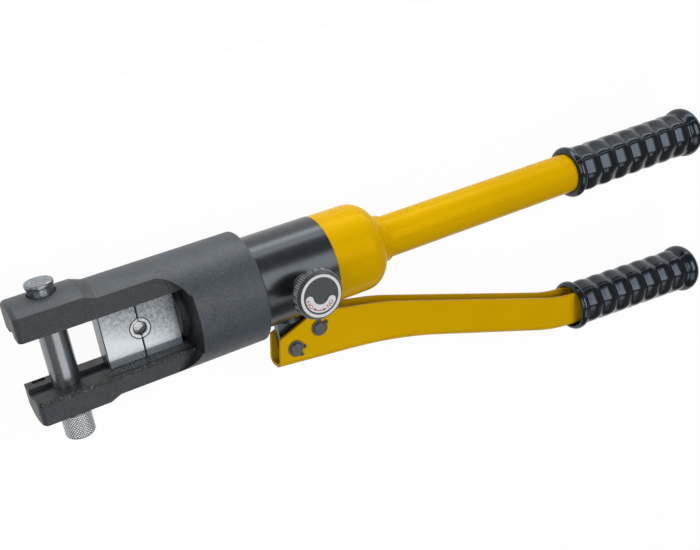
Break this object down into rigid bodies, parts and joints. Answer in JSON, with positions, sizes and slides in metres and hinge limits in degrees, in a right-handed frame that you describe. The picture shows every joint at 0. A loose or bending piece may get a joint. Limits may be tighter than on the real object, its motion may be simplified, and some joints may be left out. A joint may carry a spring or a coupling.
{
  "type": "hydraulic crimping tool",
  "caption": "Hand-held hydraulic crimping tool with a fork head closed by a pull-out pin, a two-part hexagonal die, a release knob, a yellow pump lever and black ribbed grips",
  "frame": {"origin": "centre of the hexagonal crimping nest, on the tool's main axis", "axes": "+X along the tool from the head to the handles, +Y along the retaining pin towards its disc, away from the pump lever, +Z towards the release knob; the tool lies on its side"},
  "size_m": [0.4978, 0.1676, 0.0829],
  "materials": {
    "dark_coat": "satin dark phosphate coat, slightly mottled",
    "black_body": "satin black",
    "bright_steel": "ground and polished",
    "die_steel": "ground, glossy faces",
    "dark_steel": "blackened",
    "brass": "machined",
    "seal": "smooth",
    "nylon": "smooth",
    "label_plate": "satin, printed in red and black",
    "yellow_paint": "semi-gloss",
    "grip_rubber": "glossy moulded"
  },
  "bodies": {
    "tool_body": {"head_forging": "dark_coat", "pin_o_ring": "seal", "ram_wiper": "seal", "spring_bolt": "dark_steel", "head_lock_screw": "dark_steel", "pump_body": "black_body", "body_o_ring": "seal", "fulcrum_lug": "black_body", "plunger_gland": "brass", "plunger_seal": "seal", "suction_seat": "brass", "suction_ball": "bright_steel", "suction_spring": "bright_steel", "delivery_ball": "bright_steel", "delivery_spring": "bright_steel", "delivery_retainer": "brass", "relief_ball": "bright_steel", "relief_spring": "bright_steel", "relief_screw": "brass", "release_ball": "bright_steel", "spindle_gland": "dark_steel", "reservoir_cup": "yellow_paint", "cup_o_ring": "seal", "tube_collar": "yellow_paint", "handle_tube": "yellow_paint", "tube_plug": "nylon", "oil_bladder": "seal", "bladder_clamp": "bright_steel", "suction_filter": "brass", "fixed_grip": "grip_rubber", "lug_washers": "bright_steel"},
    "retaining_pin": {"retaining_pin": "bright_steel"},
    "front_die": {"front_die": "die_steel"},
    "ram": {"ram": "dark_steel", "rear_die": "die_steel", "die_stud": "dark_steel", "piston_seal": "seal", "piston_backup_ring": "nylon", "spring_retainer": "dark_steel", "return_spring": "bright_steel"},
    "plunger": {"plunger": "bright_steel"},
    "release_knob": {"release_knob": "black_body", "knob_label": "label_plate", "knob_screw": "dark_steel", "release_spindle": "bright_steel", "spindle_o_ring": "seal"},
    "pump_lever": {"lever_channel": "yellow_paint", "lever_tube": "yellow_paint", "lever_grip": "grip_rubber", "fulcrum_pin": "dark_steel", "plunger_pin": "dark_steel", "fulcrum_pin_clip": "dark_steel", "plunger_pin_clip": "dark_steel"}
  },
  "joints": [
    {"name": "ram_slide", "type": "slide", "parent": "tool_body", "child": "ram", "axis": [-1, 0, 0], "range_m": [0, 0.0152], "stiffness_N_per_m": 1500, "springref_m": -0.02, "deforming": ["return_spring"]},
    {"name": "front_die_slide", "type": "slide", "parent": "tool_body", "child": "front_die", "axis": [-1, 0, 0], "range_m": [0, 0.0152]},
    {"name": "retaining_pin_slide", "type": "slide", "parent": "tool_body", "child": "retaining_pin", "axis": [0, -1, 0], "range_m": [0, 0.061]},
    {"name": "pump_lever_hinge", "type": "hinge", "parent": "tool_body", "child": "pump_lever", "pos_m": [0.0902, -0.0474, 0], "axis": [0, 0, 1], "range_deg": [-45, 0]},
    {"name": "plunger_slide", "type": "slide", "parent": "tool_body", "child": "plunger", "axis": [0, 1, 0], "range_m": [-0.0149, 0]},
    {"name": "release_knob_turn", "type": "hinge", "parent": "tool_body", "child": "release_knob", "pos_m": [0.0941, 0, 0], "axis": [0, 0, 1], "range_deg": [-90, 0]}
  ],
  "couplings": [
    {"joint": "front_die_slide", "follows": "ram_slide", "ratio": 1},
    {"joint": "plunger_slide", "follows": "pump_lever_hinge", "m_per_rad": 0.018851}
  ]
}
